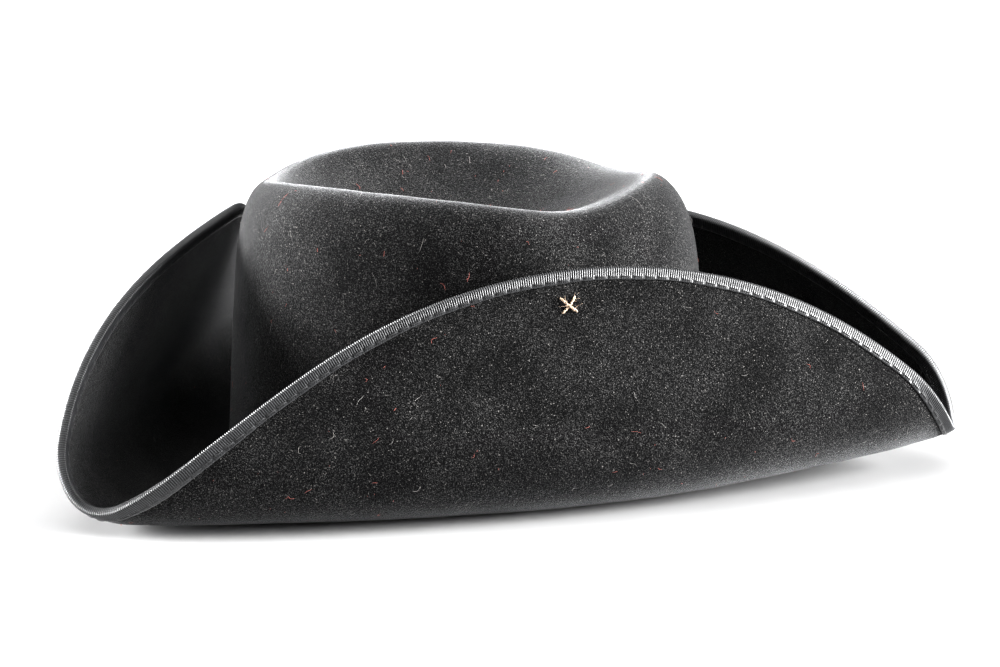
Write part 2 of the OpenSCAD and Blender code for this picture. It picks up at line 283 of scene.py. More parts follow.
class Nodes:
    """Short hand for building a material's node tree."""

    def __init__(self, name):
        self.material = bpy.data.materials.new(name)
        self.material.use_nodes = True
        self.tree = self.material.node_tree
        self.shader = self.tree.nodes["Principled BSDF"]
        self.place = self.add("ShaderNodeTexCoord").outputs["Object"]

    def add(self, kind, **inputs):
        """A new node; each input is a value or another node's output."""
        node = self.tree.nodes.new(kind)
        for key, value in inputs.items():
            self.put(node, key, value)
        return node

    def put(self, node, key, value):
        """Set or link one input; an underscore in its name stands for a space."""
        socket = node.inputs[key.replace("_", " ")]
        if isinstance(value, bpy.types.NodeSocket):
            self.tree.links.new(value, socket)
        else:
            socket.default_value = value

    def set(self, **inputs):
        """Set or link inputs of the material's shader."""
        for key, value in inputs.items():
            self.put(self.shader, key, value)

    def noise(self, size_mm, detail=2.0, stretch=None, distortion=0.0):
        """Noise whose grains are about size_mm across, stretched along an axis if asked."""
        vector = self.place
        if stretch:
            mapping = self.add("ShaderNodeMapping", Vector=vector)
            mapping.inputs["Rotation"].default_value = stretch[0]
            mapping.inputs["Scale"].default_value = stretch[1]
            vector = mapping.outputs["Vector"]
        node = self.add("ShaderNodeTexNoise", Vector=vector, Scale=1000 / size_mm,
                        Detail=detail, Distortion=distortion)
        return node.outputs["Fac"]

    def ramp(self, value, stops):
        """Colour between stops, each a position and a linear colour."""
        node = self.add("ShaderNodeValToRGB", Fac=value)
        points = node.color_ramp.elements
        while len(points) < len(stops):
            points.new(0.5)
        for point, (position, colour) in zip(points, stops):
            point.position = position
            point.color = (*colour, 1.0)
        return node.outputs["Color"]

    def span(self, value, low, high, to_low=0.0, to_high=1.0):
        """The value with the range low to high stretched to to_low to to_high."""
        node = self.add("ShaderNodeMapRange", Value=value)
        node.inputs["From Min"].default_value = low
        node.inputs["From Max"].default_value = high
        node.inputs["To Min"].default_value = to_low
        node.inputs["To Max"].default_value = to_high
        return node.outputs["Result"]

    def math(self, operation, a, b):
        """Two numbers joined by an operation."""
        node = self.tree.nodes.new("ShaderNodeMath")
        node.operation = operation
        for socket, value in zip(node.inputs, (a, b)):
            if isinstance(value, bpy.types.NodeSocket):
                self.tree.links.new(value, socket)
            else:
                socket.default_value = value
        return node.outputs["Value"]

    def mix(self, factor, a, b):
        """A colour between a and b."""
        node = self.tree.nodes.new("ShaderNodeMix")
        node.data_type = "RGBA"
        for key, value in ((0, factor), (6, a), (7, b)):
            if isinstance(value, bpy.types.NodeSocket):
                self.tree.links.new(value, node.inputs[key])
            else:
                node.inputs[key].default_value = value if key == 0 else (*value, 1.0)
        return node.outputs[2]

    def bump(self, height, depth_mm, strength):
        """Add relief to the surface, on top of any relief it already has."""
        node = self.add("ShaderNodeBump", Height=height, Distance=depth_mm * MM, Strength=strength)
        if self.shader.inputs["Normal"].is_linked:
            below = self.shader.inputs["Normal"].links[0].from_socket
            self.tree.links.new(below, node.inputs["Normal"])
        self.tree.links.new(node.outputs["Normal"], self.shader.inputs["Normal"])


def felt_material():
    """Short-napped black fur felt: dark ground under lighter fibre ends."""
    m = Nodes("felt")
    turns = ((0.4, 0.3, 0.2), (1.2, 0.5, 1.9), (0.9, 1.5, 0.6))
    squeezes = ((0.4, 1.0, 1.0), (1.0, 0.4, 1.0), (1.0, 1.0, 0.4))
    strands = [m.noise(0.42, 1.0, (turn, squeeze)) for turn, squeeze in zip(turns, squeezes)]
    nap = m.math("MAXIMUM", m.math("MAXIMUM", strands[0], strands[1]), strands[2])
    specks = m.noise(0.42, 2.0)
    patches = m.noise(24.0, 4.0)
    tips = m.math("MULTIPLY", m.span(nap, 0.56, 0.78), m.span(specks, 0.38, 0.66))
    tips = m.math("MULTIPLY", tips, m.span(patches, 0.36, 0.64, 0.45, 1.0))
    ground = m.ramp(patches, [(0.34, (0.0025, 0.0025, 0.0027)), (0.66, (0.005, 0.005, 0.0053))])
    worn = m.span(m.noise(0.65, 2.0), 0.66, 0.74)
    nap_colour = m.mix(tips, ground, (0.2, 0.198, 0.196))
    m.set(Base_Color=m.mix(worn, nap_colour, (0.26, 0.25, 0.24)), Roughness=0.9)
    m.shader.inputs["Specular IOR Level"].default_value = 0.05
    m.shader.inputs["Sheen Weight"].default_value = 0.36
    m.shader.inputs["Sheen Roughness"].default_value = 0.36
    m.shader.inputs["Sheen Tint"].default_value = (0.97, 0.98, 1.0, 1.0)
    m.bump(m.noise(7.0, 2.0), 0.3, 0.5)
    m.bump(nap, 0.5, 0.9)
    return m.material


def ribbon_material():
    """Black grosgrain: painted highlight on the threads over each rib and painted shade, near black, in
    the valleys between the ribs.
    """
    m = Nodes("ribbon")
    threads = m.noise(0.3, 2.0)
    wear = m.noise(9.0, 3.0)
    rib = m.tree.nodes.new("ShaderNodeAttribute")
    rib.attribute_name = "rib"
    crest = m.span(rib.outputs["Fac"], -0.3, 1.0)
    thread = m.ramp(wear, [(0.35, (0.045, 0.047, 0.05)), (0.75, (0.1, 0.103, 0.108))])
    # Painted highlight on each rib's crest and painted shade in the valleys, placed by the rib mark
    painted_rib_light = m.math("MULTIPLY", crest, m.span(threads, 0.2, 0.6, 0.5, 1.0))
    colour = m.mix(painted_rib_light, (0.004, 0.004, 0.005), thread)
    m.set(Base_Color=colour, Roughness=m.span(threads, 0.3, 0.7, 0.28, 0.5))
    m.shader.inputs["Specular IOR Level"].default_value = 0.7
    m.shader.inputs["Sheen Weight"].default_value = 0.15
    m.bump(threads, 0.08, 0.6)
    return m.material


def thread_material(name, dark, light, roughness):
    """Spun thread that varies between a dark and a light colour."""
    m = Nodes(name)
    strands = m.noise(0.25, detail=2.0)
    m.set(Base_Color=m.ramp(strands, [(0.3, dark), (0.7, light)]), Roughness=roughness)
    m.shader.inputs["Sheen Weight"].default_value = 0.2
    m.bump(strands, 0.06, 0.6)
    return m.material


def leather_material():
    """Dark sweatband leather: fine pebbled grain and slightly polished."""
    m = Nodes("leather")
    cells = m.add("ShaderNodeTexVoronoi", Vector=m.place, Scale=1000 / 0.9).outputs["Distance"]
    tone = m.noise(14.0, detail=4.0)
    colour = m.ramp(tone, [(0.3, (0.022, 0.013, 0.009)), (0.75, (0.06, 0.036, 0.024))])
    m.set(Base_Color=colour, Roughness=m.span(tone, 0.3, 0.7, 0.38, 0.52))
    m.bump(cells, 0.08, 0.5)
    m.bump(m.noise(3.0, detail=3.0), 0.12, 0.4)
    return m.material


def satin_material():
    """Satin lining cloth with a close weave."""
    m = Nodes("satin")
    weave = m.noise(0.3, detail=1.0, stretch=((0.0, 0.0, 0.0), (1.0, 1.0, 0.15)))
    tone = m.noise(25.0, detail=2.0)
    colour = m.ramp(tone, [(0.3, (0.012, 0.011, 0.014)), (0.7, (0.03, 0.027, 0.034))])
    m.set(Base_Color=colour, Roughness=m.span(weave, 0.3, 0.7, 0.28, 0.42))
    m.shader.inputs["Specular IOR Level"].default_value = 0.65
    m.bump(weave, 0.04, 0.5)
    return m.material


def reed_material():
    """Pale plastic of the reed."""
    m = Nodes("reed")
    tone = m.noise(2.0, detail=2.0)
    m.set(Base_Color=m.ramp(tone, [(0.3, (0.5, 0.48, 0.42)), (0.7, (0.62, 0.6, 0.54))]), Roughness=0.4)
    m.bump(tone, 0.02, 0.4)
    return m.material


FELT = felt_material()
RIBBON = ribbon_material()
BLACK_THREAD = thread_material("black_thread", (0.006, 0.006, 0.007), (0.03, 0.03, 0.032), 0.6)
CREAM_THREAD = thread_material("cream_thread", (0.4, 0.25, 0.15), (0.8, 0.68, 0.54), 0.75)
LEATHER = leather_material()
SATIN = satin_material()
REED = reed_material()
PALE_LINT = thread_material("pale_lint", (0.16, 0.155, 0.15), (0.5, 0.48, 0.46), 0.8)
RUST_LINT = thread_material("rust_lint", (0.36, 0.08, 0.07), (0.66, 0.24, 0.19), 0.8)


# ---------------------------------------------------------------------------
# Felt hood
# ---------------------------------------------------------------------------

TIP_MIDDLE = 0.002
HOOD_COLUMNS = 432
# Where each part of the hood's mesh starts along the felt, and its number of rows
HOOD_PARTS = [(0.012, 44), (RIM_AT, 40), (0.955, 12), (1.03, 84)]
LIP_OUT = 0.6


def make_hood():
    """Crown and brim as one closed skin: the under side, the raw lip and the upper side."""
    a = stations(HOOD_COLUMNS)[:, None]
    ends = [start for start, _ in HOOD_PARTS[1:]] + [EDGE_AT]
    t = np.concatenate([np.linspace(start, end, rows, endpoint=end == EDGE_AT)
                        for (start, rows), end in zip(HOOD_PARTS, ends)])[None, :]
    half = FELT_T / 2
    under = felt_point(a, t, -half)
    over = felt_point(a, t, half)[:, ::-1]
    edge = np.full_like(a, EDGE_AT)
    outward, _, up = felt_frame(a, edge)
    q = np.radians([-60.0, -30.0, 0.0, 30.0, 60.0])[None, :, None]
    lip = felt_point(a, edge, 0.0) + LIP_OUT * np.cos(q) * outward + half * np.sin(q) * up
    sections = np.concatenate([under, lip, over], axis=1)
    rows, cols = sections.shape[:2]
    points = np.concatenate([sections.reshape(-1, 3), felt_point(0.0, TIP_MIDDLE, [-half, half])])
    faces = grid_faces(rows, cols, True, False).tolist()
    first, last = rows * cols, rows * cols + 1
    for i in range(rows):
        j = (i + 1) % rows
        faces.append([first, i * cols, j * cols])
        faces.append([last, j * cols + cols - 1, i * cols + cols - 1])
    return add_piece("hood_of_fur_felt", points, faces, FELT, ["felt_hood"])


# ---------------------------------------------------------------------------
# Edge ribbon and its stitching
# ---------------------------------------------------------------------------

STITCH_IN = BINDING_W - 1.1
SELVAGE = 1.5
RIB_STATIONS = 6
# How far each needle hole draws the ribbon's inner edge in, and over what half width
SCALLOP_D, SCALLOP_W = 0.12, 0.75
# Slow drift of that edge along the brim, and its length
DRIFT_D, DRIFT_L = 0.12, 37.0
# Ribbon's back edges: their share of its width, how deep they sit, and what is left of the ribs
HEM_SHARE, HEM_SUNK, HEM_RIBS = 0.98, 0.2, 0.15


def stitch_phase(at, total):
    """Distance along the edge to the nearest needle hole."""
    pitch = total / round(total / STITCH_PITCH)
    return (at + pitch / 2) % pitch - pitch / 2


def make_binding():
    """Ribbed ribbon folded over the brim's edge, pulled in a little at each needle hole."""
    a, at, total = edge_stations(RIB_PITCH / RIB_STATIONS)
    ribs = round(total / RIB_PITCH)
    rib = np.cos(2 * np.pi * ribs * at / total)
    crest = 1 - 2 * np.abs(np.sin(np.pi * ribs * at / total)) ** 1.5
    near_hole = np.exp(-((stitch_phase(at, total) / SCALLOP_W) ** 2))
    scallop = SCALLOP_D * near_hole + DRIFT_D * np.sin(2 * np.pi * at / DRIFT_L) + 0.05 * rib
    inset = np.array([1.0, 0.93, 0.84, 0.76, 0.68, 0.55, 0.4, 0.22, 0.06])
    half = FELT_T / 2

    def ribbed(distance):
        """How much the ribs stand out there: all over the fold, hardly in the selvage."""
        return np.clip((BINDING_W - SELVAGE - distance) / 0.4, HEM_RIBS, 1)

    def height(distance):
        """Ribbon's face above the felt: ribs, a dip at each needle hole, a pressed selvage."""
        dip = 0.28 * near_hole * np.exp(-(((distance - STITCH_IN) / 0.55) ** 2))
        press = 0.22 * np.exp(-(((distance - BINDING_W) / 0.35) ** 2))
        return BINDING_T + RIB_DEPTH * ribbed(distance) * (crest - 0.4) - dip - press

    lip_frame = felt_frame(a, np.full_like(a, EDGE_AT))
    lip = felt_point(a, EDGE_AT, 0.0)
    legs = []
    for side in (-1, 1):
        leg = []
        for share in inset:
            distance = share * (BINDING_W - scallop)
            leg.append(felt_point(a, edge_in(a, distance), side * (half + height(distance))))
        legs.append(leg)
    turn = []
    for q in np.radians([-65.0, -40.0, -14.0, 14.0, 40.0, 65.0]):
        out = (0.35 + BINDING_T + RIB_DEPTH * (crest - 0.4)) * np.cos(q)
        up = (half + BINDING_T + RIB_DEPTH * (crest - 0.4)) * np.sin(q)
        turn.append(lip + out[:, None] * lip_frame[0] + up[:, None] * lip_frame[2])
    hem = edge_in(a, HEM_SHARE * BINDING_W - scallop)
    back = [felt_point(a, hem, side * (half - HEM_SUNK)) for side in (1, -1)]
    points = np.stack(legs[0] + turn + legs[1][::-1] + back, axis=1)
    weave = [ribbed(share * BINDING_W) for share in inset]
    weave = np.array(weave + [1.0] * len(turn) + weave[::-1] + [HEM_RIBS] * len(back))
    loose = np.random.default_rng(3).uniform(-1, 1, points.shape[:2])
    # The rib mark places the ribbon's painted highlight on the crests and painted shade in the valleys;
    # in the selvage it is mostly random
    marks = {"rib": weave * rib[:, None] + (1 - weave) * loose}
    return loop_piece("edge_ribbon", points, RIBBON, ["edge_binding"], marks)


def make_binding_stitches():
    """Dashes of black thread between the needle holes, on both faces of the brim."""
    _, _, total = edge_stations(5.0)
    a, _, _ = edge_stations(total / round(total / STITCH_PITCH))
    step = np.roll(a, -1) - a
    step[-1] += 2 * np.pi
    share = np.linspace(0.06, 0.94, 7)
    arch = np.array([-0.45, -0.02, 0.1, 0.13, 0.1, -0.02, -0.45])
    paths = []
    for side in (-1, 1):
        angles = a[:, None] + step[:, None] * share
        off = side * (FELT_T / 2 + BINDING_T + arch)
        paths.append(felt_point(angles, edge_in(angles, STITCH_IN), off[None, :] + 0 * angles))
    paths = np.concatenate(paths)
    radii = np.full(paths.shape[:2], 0.19)
    points, faces = tubes(paths, radii, sides=6)
    return add_piece("ribbon_lockstitches", points, faces, BLACK_THREAD,
                     ["binding_thread"])


# ---------------------------------------------------------------------------
# Tacking crosses
# ---------------------------------------------------------------------------

def twisted(path, radius, turns, strands=2):
    """Strands of a twisted thread that follows path."""
    along = unit(np.gradient(path, axis=0))
    across = unit(np.cross(along, np.roll(along, 1, axis=1) + [0.1, 0.2, 0.3]))
    up = np.cross(along, across)
    q = np.linspace(0, 2 * np.pi * turns, len(path))
    lay = []
    for k in range(strands):
        p = q + 2 * np.pi * k / strands
        lay.append(path + 0.5 * radius * (np.cos(p)[:, None] * across + np.sin(p)[:, None] * up))
    return np.stack(lay)


def smooth_path(points, count):
    """A smooth curve through the given points, by their distance along."""
    points = np.asarray(points, float)
    steps = np.concatenate([[0], np.cumsum(np.linalg.norm(np.diff(points, axis=0), axis=1))])
    at = np.linspace(0, steps[-1], count)
    line = np.stack([np.interp(at, steps, points[:, k]) for k in range(3)], -1)
    for _ in range(3):
        line[1:-1] = (line[:-2] + 2 * line[1:-1] + line[2:]) / 4
    return line


STRAND_POINTS, STRAND_TURNS = 90, 9
# Loose fibres of the cross: how many, points each, and between which strand points they stand
FUZZ_COUNT, FUZZ_POINTS, FUZZ_FROM, FUZZ_TO = 44, 6, 16, 74


def make_tack(name, direction, seed):
    """Two crossed strands of twisted thread through the panel, with loose fibres."""
    random = np.random.default_rng(seed)
    a = np.array([math.radians(direction)])
    t = edge_in(a, TACK_DOWN)
    _, level, up = (v[0] for v in felt_frame(a, t))
    out = -up
    down = np.cross(out, level)
    face = felt_point(a, t, -FELT_T / 2)[0]
    half = TACK_SIZE / 2 / math.sqrt(2)
    strands = []
    for slant, height in ((1, 0.5), (-1, 1.3)):
        corner = half * (level + slant * down)
        bow = 0.12 * slant * half * (level - slant * down)
        path = smooth_path([face - 0.9 * corner - TACK_REACH * out,
                            face - corner - 0.5 * TACK_D * out,
                            face - 0.86 * corner + 0.55 * TACK_D * out,
                            face + bow + height * TACK_D * out,
                            face + 0.86 * corner + 0.55 * TACK_D * out,
                            face + corner - 0.5 * TACK_D * out,
                            face + 0.9 * corner - TACK_REACH * out], STRAND_POINTS)
        strands.append(twisted(path, 0.4 * TACK_D, STRAND_TURNS))
    strands = np.concatenate(strands)
    radii = np.full(strands.shape[:2], 0.3 * TACK_D)
    points, faces = tubes(strands, radii, sides=8)
    starts = random.integers(FUZZ_FROM, FUZZ_TO, FUZZ_COUNT)
    fuzz = []
    for k, start in enumerate(starts):
        base = strands[k % len(strands), start]
        drift = random.normal(size=3) * 0.8 + 0.5 * out
        bend = random.normal(size=3) * 0.5
        s = np.linspace(0, 1, FUZZ_POINTS)[:, None]
        reach = random.uniform(0.6, 2.2)
        fuzz.append(base + reach * (s * drift + s**2 * bend))
    fuzz = np.stack(fuzz)
    thin = np.linspace(0.09, 0.04, FUZZ_POINTS)[None, :] + 0 * fuzz[..., 0]
    more_points, more_faces = tubes(fuzz, thin, sides=4)
    faces += [[v + len(points) for v in f] for f in more_faces]
    points = np.concatenate([points, more_points])
    return add_piece(f"cross_stitch_{name}", points, faces, CREAM_THREAD,
                     [f"tack_stitch_{name}"])


# ---------------------------------------------------------------------------
# Inside the head opening
# ---------------------------------------------------------------------------

BAND_FOOT = 3.5
BAND_CLEAR = 2.5
BAND_INSET = (CROWN_TAPER + CROWN_LEAN) * (BAND_FOOT + BAND_H + BAND_CLEAR) / CROWN_H
BAND_INSET += LINING_GAP + LINING_T + 2 * GAP
BAND_RADIUS = 95.0
BAND_Z = FELT_T / 2 + BAND_FOOT
REED_Z = BAND_Z - 0.2 - TAPE_T - REED_D / 2 - GAP


def band_point(a, inward, z):
    """A point beside the sweatband: a distance inside its outer face, at a height."""
    r = oval(a, CROWN_L, CROWN_W) - FELT_T - BAND_INSET - inward
    a, r, z = np.broadcast_arrays(a, r, z)
    return np.stack([r * np.cos(a), r * np.sin(a), z], -1)


def ring_piece(name, a, section, material, hides, marks=None):
    """A ring beside the sweatband; section lists (inward, height), each a number or an array."""
    loops = np.stack([band_point(a, inward, z) for inward, z in section], axis=1)
    return loop_piece(name, loops, material, hides, marks)


def make_sweatband():
    """Leather band with a turned top edge, soft waves and a butted seam at the back."""
    a = np.linspace(0, 2 * np.pi, 540, endpoint=False)
    from_seam = np.abs((a + 1e-9) % (2 * np.pi) - np.pi) * BAND_RADIUS
    wave = 0.22 * np.sin(7 * a + 1.0) + 0.12 * np.sin(17 * a)
    pucker = 0.35 * np.exp(-((from_seam / 0.5) ** 2))
    heights = np.linspace(0, BAND_H - 1.2, 16)
    outer = [(0.12 + 0.2 * wave * (h / BAND_H), BAND_Z + h) for h in heights]
    inner = [(BAND_T + 0.2 * wave * (h / BAND_H) - pucker, BAND_Z + h) for h in heights]
    for q in np.radians([20, 55, 90, 125, 160]):
        inward = 0.75 + 0.2 * wave - 0.63 * np.cos(q)
        outer.append((inward, BAND_Z + BAND_H - 0.9 + 0.1 * wave + 0.9 * np.sin(q)))
    return ring_piece("leather_sweatband", a, outer + inner[::-1], LEATHER, ["sweatband"])


def make_band_seam():
    """Zigzag stitches that join the sweatband's ends at the back."""
    paths = []
    for k in range(SEAM_STITCHES):
        z = FELT_T / 2 + SEAM_FOOT + k * SEAM_PITCH
        share = np.linspace(-1, 1, 9)
        a = np.pi + share * 1.9 / BAND_RADIUS
        inward = BAND_T + 0.22 - 0.5 * np.abs(share) ** 6
        paths.append(band_point(a, inward, z + 0.9 * share * (-1) ** k))
    paths = np.stack(paths)
    points, faces = tubes(paths, np.full(paths.shape[:2], 0.26), sides=6)
    return add_piece("band_seam_stitches", points, faces, BLACK_THREAD,
                     ["sweatband_seam"])


def make_reed():
    """Round springy reed below the sweatband's lower edge."""
    a = np.linspace(0, 2 * np.pi, 360, endpoint=False)
    section = [(BAND_T / 2 - REED_D / 2 * math.cos(q), REED_Z + REED_D / 2 * math.sin(q))
               for q in np.linspace(0, 2 * np.pi, 10, endpoint=False)]
    return ring_piece("plastic_reed", a, section, REED, ["sweatband_reed"])


def make_reed_tape():
    """Ribbed tape folded round the reed, its two legs sewn up each face of the leather."""
    a = np.linspace(0, 2 * np.pi, TAPE_RIBS * 4, endpoint=False)
    rib = np.cos(TAPE_RIBS * a)
    inner_r = REED_D / 2 + GAP / 2
    outer_r = REED_D / 2 + GAP + TAPE_T + 0.05 * rib
    turn = np.radians(np.linspace(-250, 70, 14))
    leg = np.array([3.4, 1.7, 0.3])
    faces_off = (TAPE_T + 0.05 + 0.05 * rib, 0.05)
    head_side = [[(BAND_T + off, BAND_Z + h) for h in leg] for off in faces_off]
    felt_side = [[(-off, BAND_Z + h) for h in leg[::-1]] for off in faces_off]
    outer, inner = ([(BAND_T / 2 - r * math.cos(q), REED_Z + r * math.sin(q)) for q in turn]
                    for r in (outer_r, inner_r))
    outer_half = head_side[0] + outer + felt_side[0]
    inner_half = felt_side[1][::-1] + inner[::-1] + head_side[1][::-1]
    section = outer_half + inner_half
    loops = np.stack([band_point(a, inward, z) for inward, z in section], axis=1)
    # The rib mark places the tape's painted highlight on the ribs and painted shade between them
    marks = {"rib": np.repeat(rib[:, None], loops.shape[1], axis=1)}
    return loop_piece("folded_reed_tape", loops, RIBBON, ["reed_tape"], marks)


def make_band_stitches():
    """Slanted stitches that hold the tape to the felt at the head opening."""
    middle = np.linspace(0, 2 * np.pi, BAND_STITCHES, endpoint=False)[:, None]
    share = np.linspace(-1, 1, 8)[None, :]
    a = middle + share * 1.5 / BAND_RADIUS
    off = REED_D / 2 + TAPE_T + 2 * GAP + 0.3 - 0.25 * np.abs(share) ** 4
    paths = band_point(a, BAND_T / 2 - off, REED_Z + 0.25 * share + 0 * a)
    points, faces = tubes(paths, np.full(paths.shape[:2], 0.24), sides=6)
    return add_piece("band_stitches", points, faces, BLACK_THREAD, ["sweatband_thread"])


def band_patch(width, half_thickness, spine, side_axis, out_axis, ribs):
    """A ribbon strip: spine is its centre line, side_axis its width, out_axis its face."""
    across = np.linspace(-0.5, 0.5, 7)
    points = []
    for sign in (-1, 1):
        order = across if sign > 0 else across[::-1]
        points.append(spine[:, None] + width[:, None, None] * order[None, :, None] * side_axis
                      + sign * (half_thickness + ribs)[:, None, None] * out_axis)
    return np.concatenate(points, axis=1)


def make_bow():
    """Flat ribbon bow: two loops, two slanted tails and the knot over them."""
    a = math.radians(BOW_DIRECTION)
    base = band_point(np.array(a), BAND_T + GAP, FELT_T / 2 + BOW_UP)
    out = np.array([-math.cos(a), -math.sin(a), 0.0])
    level = np.array([math.sin(a), -math.cos(a), 0.0])
    up = np.array([0.0, 0.0, 1.0])
    strips = []
    for side in (-1, 1):
        q = np.linspace(-0.94 * np.pi, 0.94 * np.pi, 60)
        reach = BOW_L * (0.5 + 0.5 * np.cos(q))
        rise = 1.35 * np.sin(q) * (0.35 + 0.65 * np.sin(np.pi * np.clip(reach / BOW_L, 0, 1)))
        spine = base + side * (reach + 0.6)[:, None] * level + (BOW_STAND + 0.5 + rise)[:, None] * out
        width = 2.2 + 2.9 * np.sin(np.pi / 2 * np.clip(reach / BOW_L * 1.3, 0, 1))
        strips.append((spine, width, up, q * 6))
        share = np.linspace(0, 1, 40)
        slant = unit(side * 0.75 * level - 0.66 * up)
        stand = BOW_STAND + 0.1 + 0.5 * np.sin(3 * share)
        spine = base + BOW_TAIL * share[:, None] * slant + stand[:, None] * out
        strips.append((spine, 2.4 + 1.6 * share, unit(np.cross(out, slant)), share * 55))
    q = np.linspace(-np.pi, np.pi, 40, endpoint=False)
    knot_out = BOW_STAND + 0.6 + KNOT_DEEP * np.sin(q)
    knot = base + (KNOT_HIGH * np.cos(q))[:, None] * up + knot_out[:, None] * out
    facing = unit(np.cos(q)[:, None] * up / KNOT_HIGH + np.sin(q)[:, None] * out / KNOT_DEEP)
    points, faces, marks, start = [], [], [], 0
    for spine, width, side_axis, phase in strips:
        facing_now = unit(np.cross(side_axis, np.gradient(spine, axis=0)))
        rib = np.cos(phase * 2)
        strip = band_patch(width, 0.16, spine, side_axis, facing_now[:, None], 0.05 * rib)
        rows, cols = strip.shape[:2]
        faces += (grid_faces(rows, cols, False, True) + start).tolist()
        faces.append(list(range(start + cols - 1, start - 1, -1)))
        last = start + (rows - 1) * cols
        faces.append(list(range(last, last + cols)))
        points.append(strip.reshape(-1, 3))
        # The rib mark places the bow's painted highlight on the ribs and painted shade between them
        marks.append(np.repeat(rib, cols))
        start += rows * cols
    rib = np.cos(12 * q)
    knot_strip = band_patch(np.full(len(q), 3.4), 0.22, knot, level, facing[:, None], 0.05 * rib)
    rows, cols = knot_strip.shape[:2]
    faces += (grid_faces(rows, cols, True, True) + start).tolist()
    points.append(knot_strip.reshape(-1, 3))
    marks.append(np.repeat(rib, cols))
    return add_piece("ribbon_bow", np.concatenate(points), faces, RIBBON,
                     ["sweatband_bow"], {"rib": np.concatenate(marks)})


def make_lining_side():
    """Side lining, eased into small pleats toward the tip seam."""
    a = stations(900)[:, None]
    t = np.linspace(RIM_AT + 0.02, LINING_FOOT, 30)[None, :]
    up_share = (LINING_FOOT - t) / (LINING_FOOT - RIM_AT - 0.02)
    pleat = 0.5 * np.abs(np.sin(36 * a + 0.6 * np.sin(5 * a))) ** 1.6 * (0.25 + 0.75 * up_share)
    drape = 0.25 * np.sin(9 * a + 6 * t) * np.sin(np.pi * up_share)
    face = -(FELT_T / 2 + LINING_GAP + LINING_T) - np.clip(pleat + drape, -0.1, 1.2)
    inner = felt_point(a, t, face)
    outer = felt_point(a, t, face + CLOTH_T)[:, ::-1]
    loops = np.concatenate([inner, outer], axis=1)
    return loop_piece("side_lining", loops, SATIN, ["lining_side"])


def make_lining_tip():
    """Tip lining: one panel, slightly slack, with easing ripples near its seam."""
    a = stations(420)[:, None]
    t = np.linspace(0.02, RIM_AT * 0.97, 36)[None, :]
    edge_share = (t / RIM_AT) ** 5
    slack = 0.3 * np.sin(4 * a + 7 * t) * (1 - edge_share) * np.clip(2 * t / RIM_AT, 0, 1) ** 3
    ripple = 0.35 * edge_share * np.sin(48 * a) + slack
    face = -(FELT_T / 2 + LINING_GAP + LINING_T) - 0.3 + 0.8 * ripple
    inner = felt_point(a, t, face)
    outer = felt_point(a, t, face + CLOTH_T)[:, ::-1]
    sections = np.concatenate([inner, outer], axis=1)
    rows, cols = sections.shape[:2]
    middle = felt_point(0.0, TIP_MIDDLE, [face.mean(), face.mean() + CLOTH_T])
    points = np.concatenate([sections.reshape(-1, 3), middle])
    faces = grid_faces(rows, cols, True, False).tolist()
    for i in range(rows):
        j = (i + 1) % rows
        faces.append([rows * cols, i * cols, j * cols])
        faces.append([rows * cols + 1, j * cols + cols - 1, i * cols + cols - 1])
    return add_piece("tip_lining", points, faces, SATIN, ["lining_tip"])


def make_piping():
    """Twisted piping in the seam between the two linings."""
    a = stations(1200)[:, None]
    q = np.linspace(0, 2 * np.pi, 14, endpoint=False)[None, :]
    twist = 190 * a
    r = 0.62 + 0.12 * np.cos(2 * (q - twist))
    middle = felt_point(a, RIM_AT, -FELT_T / 2 - LINING_GAP - 0.7)
    along, _, up = felt_frame(a, np.full_like(a, RIM_AT))
    loops = middle + (r * np.cos(q))[..., None] * along + (r * np.sin(q))[..., None] * up
    return loop_piece("lining_piping", loops, BLACK_THREAD, ["lining_cord"])


# ---------------------------------------------------------------------------
# Lint caught in the nap
# ---------------------------------------------------------------------------

# Rough distances in millimetres that turn a fibre's length into steps of angle and of t
MEAN_RADIUS, CROWN_REACH, BRIM_REACH = 110.0, 110.0, 120.0
# Between which places along the felt the fibres start, on the crown and on the brim
CROWN_LINT, BRIM_LINT = (0.12, 0.97), (1.15, 1.96)


def make_lint(name, material, count, longest, seed):
    """Loose curled fibres on the felt: half on the crown, the rest mostly under the brim."""
    random = np.random.default_rng(seed)
    paths, radii = [], []
    steps = 9
    s = np.linspace(0, 1, steps)
    for _ in range(count):
        on_crown = random.random() < 0.5
        t = random.uniform(*(CROWN_LINT if on_crown else BRIM_LINT))
        a = random.uniform(-np.pi, np.pi)
        side = 1 if on_crown or random.random() < 0.15 else -1
        length = longest * random.uniform(0.12, 1.0) ** 2.2
        heading = random.uniform(0, 2 * np.pi)
        curl = random.normal(0, 1.6)
        wave = random.normal(0, 0.5)
        turn = heading + curl * s + wave * np.sin(2 * np.pi * s)
        along, across = np.cumsum(np.cos(turn)), np.cumsum(np.sin(turn))
        a_path = a + length / steps * across / MEAN_RADIUS
        t_path = t + length / steps * along / (CROWN_REACH if on_crown else BRIM_REACH)
        lift = 0.12 + 0.35 * random.random() * np.sin(np.pi * s) ** 2
        ends = np.clip(np.minimum(s, 1 - s) * 6, 0.35, 1)
        paths.append(felt_point(a_path, np.clip(t_path, 0.02, 1.97), side * (FELT_T / 2 + lift)))
        radii.append(random.uniform(0.035, 0.07) * ends)
    points, faces = tubes(np.stack(paths), np.stack(radii), sides=5)
    return add_piece(name, points, faces, material)


# ---------------------------------------------------------------------------
# Camera, floor and light
# ---------------------------------------------------------------------------

# Fitted to the photo: azimuth, elevation and roll in degrees, target in mm, distance in metres
CAMERA_ANGLES = (11.5, 13.4, -1.0)
CAMERA_TARGET = (16.4, 0.0, 52.9)
CAMERA_DISTANCE = 1.165
CAMERA_LENS = 95.9


